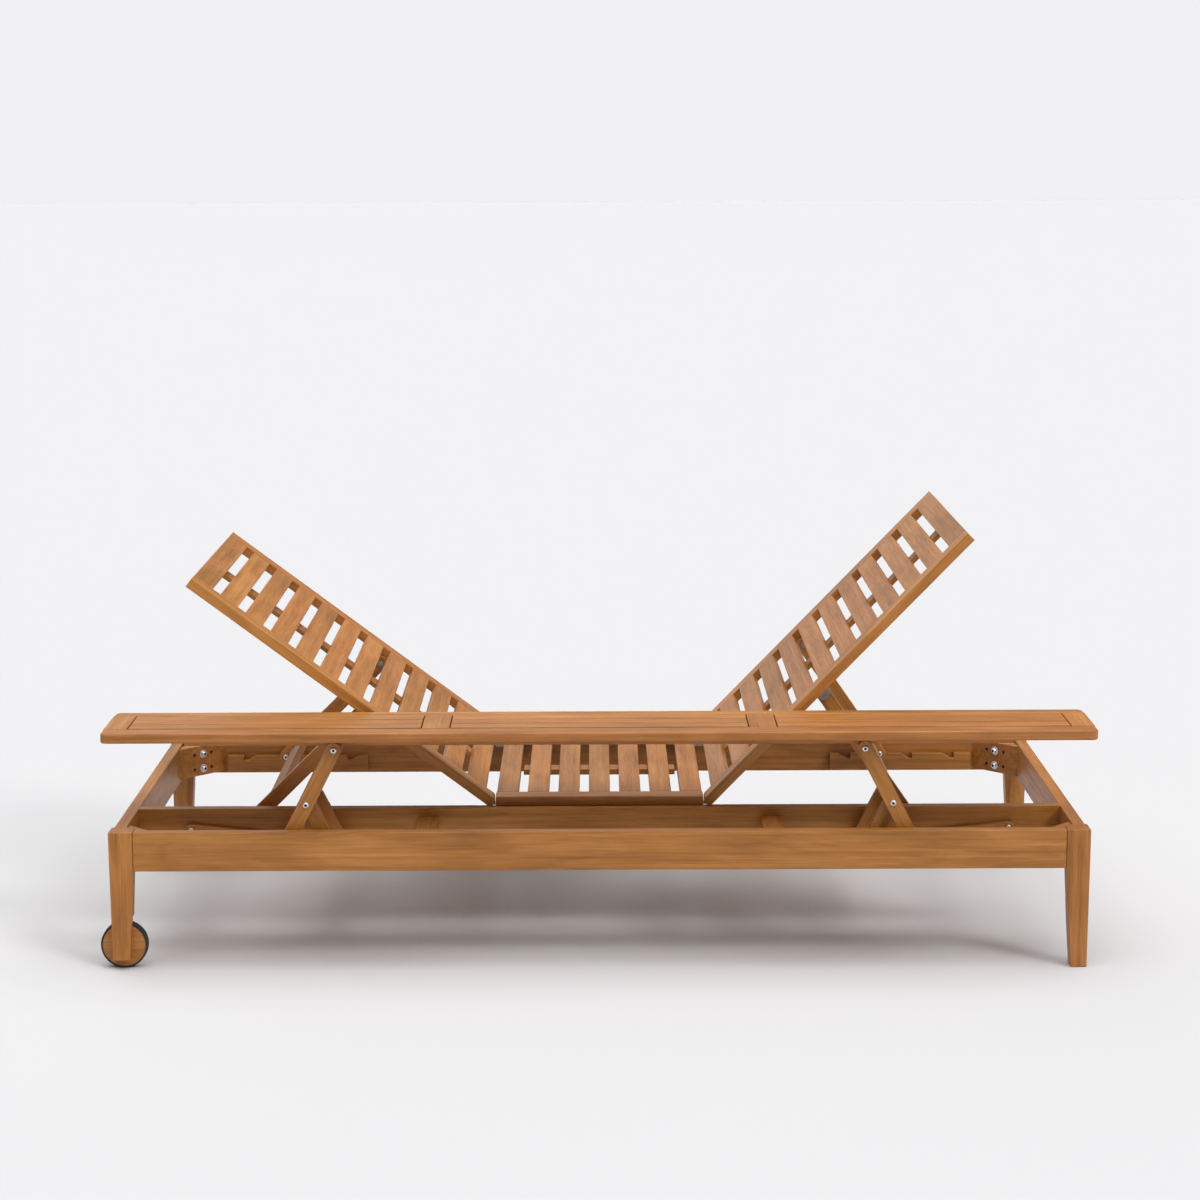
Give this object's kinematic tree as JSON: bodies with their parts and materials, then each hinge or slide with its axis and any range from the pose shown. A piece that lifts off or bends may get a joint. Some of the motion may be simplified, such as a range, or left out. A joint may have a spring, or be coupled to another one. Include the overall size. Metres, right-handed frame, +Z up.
{
  "type": "reclining sun lounger",
  "caption": "Slatted wooden sun lounger with a fixed middle seat, a reclining backrest on ratchet props at each end, a side shelf that rises on folding legs, and wheels at one end.",
  "frame": {"origin": "on the ground, under the middle of the overall box", "axes": "+X along the length away from the wheels, +Y from the shelf to the back rail, +Z up"},
  "size_m": [2.0145, 0.9, 0.8581],
  "materials": {
    "frame_wood": "oiled hardwood, satin",
    "panel_wood": "oiled hardwood, satin",
    "shelf_wood": "oiled hardwood, satin",
    "steel": "bright zinc plate",
    "dark_steel": "black oxide",
    "rubber": "matt rubber band"
  },
  "bodies": {
    "frame": {"front_rail": "frame_wood", "back_rail": "frame_wood", "end_rails": "frame_wood", "inner_rail": "frame_wood", "wheel_legs": "frame_wood", "plain_legs": "frame_wood", "wheel_axles": "steel", "corner_plates": "frame_wood", "corner_bolts": "steel", "corner_screws": "dark_steel", "channel_ties": "frame_wood", "runner_ledges": "frame_wood", "lift_rods": "steel", "stay_bolts": "steel", "left_racks": "frame_wood", "right_racks": "frame_wood", "seat_stiles": "panel_wood", "seat_slats": "panel_wood", "seat_stringer": "panel_wood", "seat_bearers": "panel_wood", "hinge_leaves": "steel", "hinge_pins": "steel"},
    "shelf": {"shelf_stiles": "shelf_wood", "shelf_ends": "shelf_wood", "shelf_cross_boards": "shelf_wood", "shelf_slats": "shelf_wood", "shelf_battens": "shelf_wood", "shelf_pivot_bolts": "steel"},
    "front_wheel": {"wheel_disc_front": "frame_wood", "tyre_front": "rubber"},
    "back_wheel": {"wheel_disc_back": "frame_wood", "tyre_back": "rubber"},
    "left_backrest": {"left_back_stiles": "panel_wood", "left_back_slats": "panel_wood", "left_back_top_board": "panel_wood", "left_back_stringer": "panel_wood", "left_back_brackets": "steel"},
    "left_prop": {"left_prop_bars": "frame_wood", "left_prop_pins": "steel", "left_prop_tie": "frame_wood"},
    "left_long_leg": {"left_long_leg_bars": "frame_wood", "left_long_leg_dowel": "frame_wood", "left_long_leg_bolts": "steel"},
    "left_short_leg": {"left_short_leg_bars": "frame_wood"},
    "left_stay": {"left_stay": "frame_wood"},
    "right_backrest": {"right_back_stiles": "panel_wood", "right_back_slats": "panel_wood", "right_back_top_board": "panel_wood", "right_back_stringer": "panel_wood", "right_back_brackets": "steel"},
    "right_prop": {"right_prop_bars": "frame_wood", "right_prop_pins": "steel", "right_prop_tie": "frame_wood"},
    "right_long_leg": {"right_long_leg_bars": "frame_wood", "right_long_leg_dowel": "frame_wood", "right_long_leg_bolts": "steel"},
    "right_short_leg": {"right_short_leg_bars": "frame_wood"},
    "right_stay": {"right_stay": "frame_wood"}
  },
  "joints": [
    {"name": "left_backrest_tilt", "type": "hinge", "parent": "frame", "child": "left_backrest", "pos_m": [-0.229, 0.105, 0.2975], "axis": [0, 1, 0], "range_deg": [-37, 19]},
    {"name": "left_prop_fold", "type": "hinge", "parent": "left_backrest", "child": "left_prop", "pos_m": [-0.4994, 0.105, 0.47371], "axis": [0, 1, 0], "range_deg": [-41.9, 81.58]},
    {"name": "right_backrest_tilt", "type": "hinge", "parent": "frame", "child": "right_backrest", "pos_m": [0.229, 0.105, 0.2975], "axis": [0, -1, 0], "range_deg": [-45.9, 10.1]},
    {"name": "right_prop_fold", "type": "hinge", "parent": "right_backrest", "child": "right_prop", "pos_m": [0.46888, 0.105, 0.51343], "axis": [0, -1, 0], "range_deg": [-22.27, 101.21]},
    {"name": "shelf_lower", "type": "hinge", "parent": "frame", "child": "left_short_leg", "pos_m": [-0.5355, -0.337, 0.2214], "axis": [0, -1, 0], "range_deg": [0, 52.9]},
    {"name": "left_leg_cross", "type": "hinge", "parent": "left_short_leg", "child": "left_long_leg", "pos_m": [-0.59335, -0.337, 0.33446], "axis": [0, -1, 0], "range_deg": [-105.8, 0]},
    {"name": "shelf_level", "type": "hinge", "parent": "left_long_leg", "child": "shelf", "pos_m": [-0.5355, -0.337, 0.44751], "axis": [0, -1, 0], "range_deg": [0, 52.9]},
    {"name": "right_leg_swing", "type": "hinge", "parent": "frame", "child": "right_short_leg", "pos_m": [0.5355, -0.337, 0.2214], "axis": [0, -1, 0], "range_deg": [-52.9, 0]},
    {"name": "right_leg_cross", "type": "hinge", "parent": "right_short_leg", "child": "right_long_leg", "pos_m": [0.59335, -0.337, 0.33446], "axis": [0, -1, 0], "range_deg": [0, 105.8]},
    {"name": "left_stay_swing", "type": "hinge", "parent": "frame", "child": "left_stay", "pos_m": [-0.85, -0.255, 0.2434], "axis": [0, -1, 0], "range_deg": [0, 11.3]},
    {"name": "right_stay_swing", "type": "hinge", "parent": "frame", "child": "right_stay", "pos_m": [0.85, -0.255, 0.2434], "axis": [0, -1, 0], "range_deg": [-11.3, 0]},
    {"name": "front_wheel_roll", "type": "hinge", "parent": "frame", "child": "front_wheel", "pos_m": [-0.967, -0.4165, 0.0475], "axis": [0, 1, 0], "continuous": true},
    {"name": "back_wheel_roll", "type": "hinge", "parent": "frame", "child": "back_wheel", "pos_m": [-0.967, 0.4165, 0.0475], "axis": [0, 1, 0], "continuous": true}
  ],
  "couplings": [
    {"joint": "left_prop_fold", "follows": "left_backrest_tilt", "ratio": -2.205},
    {"joint": "right_prop_fold", "follows": "right_backrest_tilt", "ratio": -2.205},
    {"joint": "left_leg_cross", "follows": "shelf_lower", "ratio": -2},
    {"joint": "shelf_level", "follows": "shelf_lower", "ratio": 1},
    {"joint": "right_leg_swing", "follows": "shelf_lower", "ratio": -1},
    {"joint": "right_leg_cross", "follows": "shelf_lower", "ratio": 2},
    {"joint": "left_stay_swing", "follows": "shelf_lower", "ratio": 0.2136},
    {"joint": "right_stay_swing", "follows": "shelf_lower", "ratio": -0.2136}
  ]
}
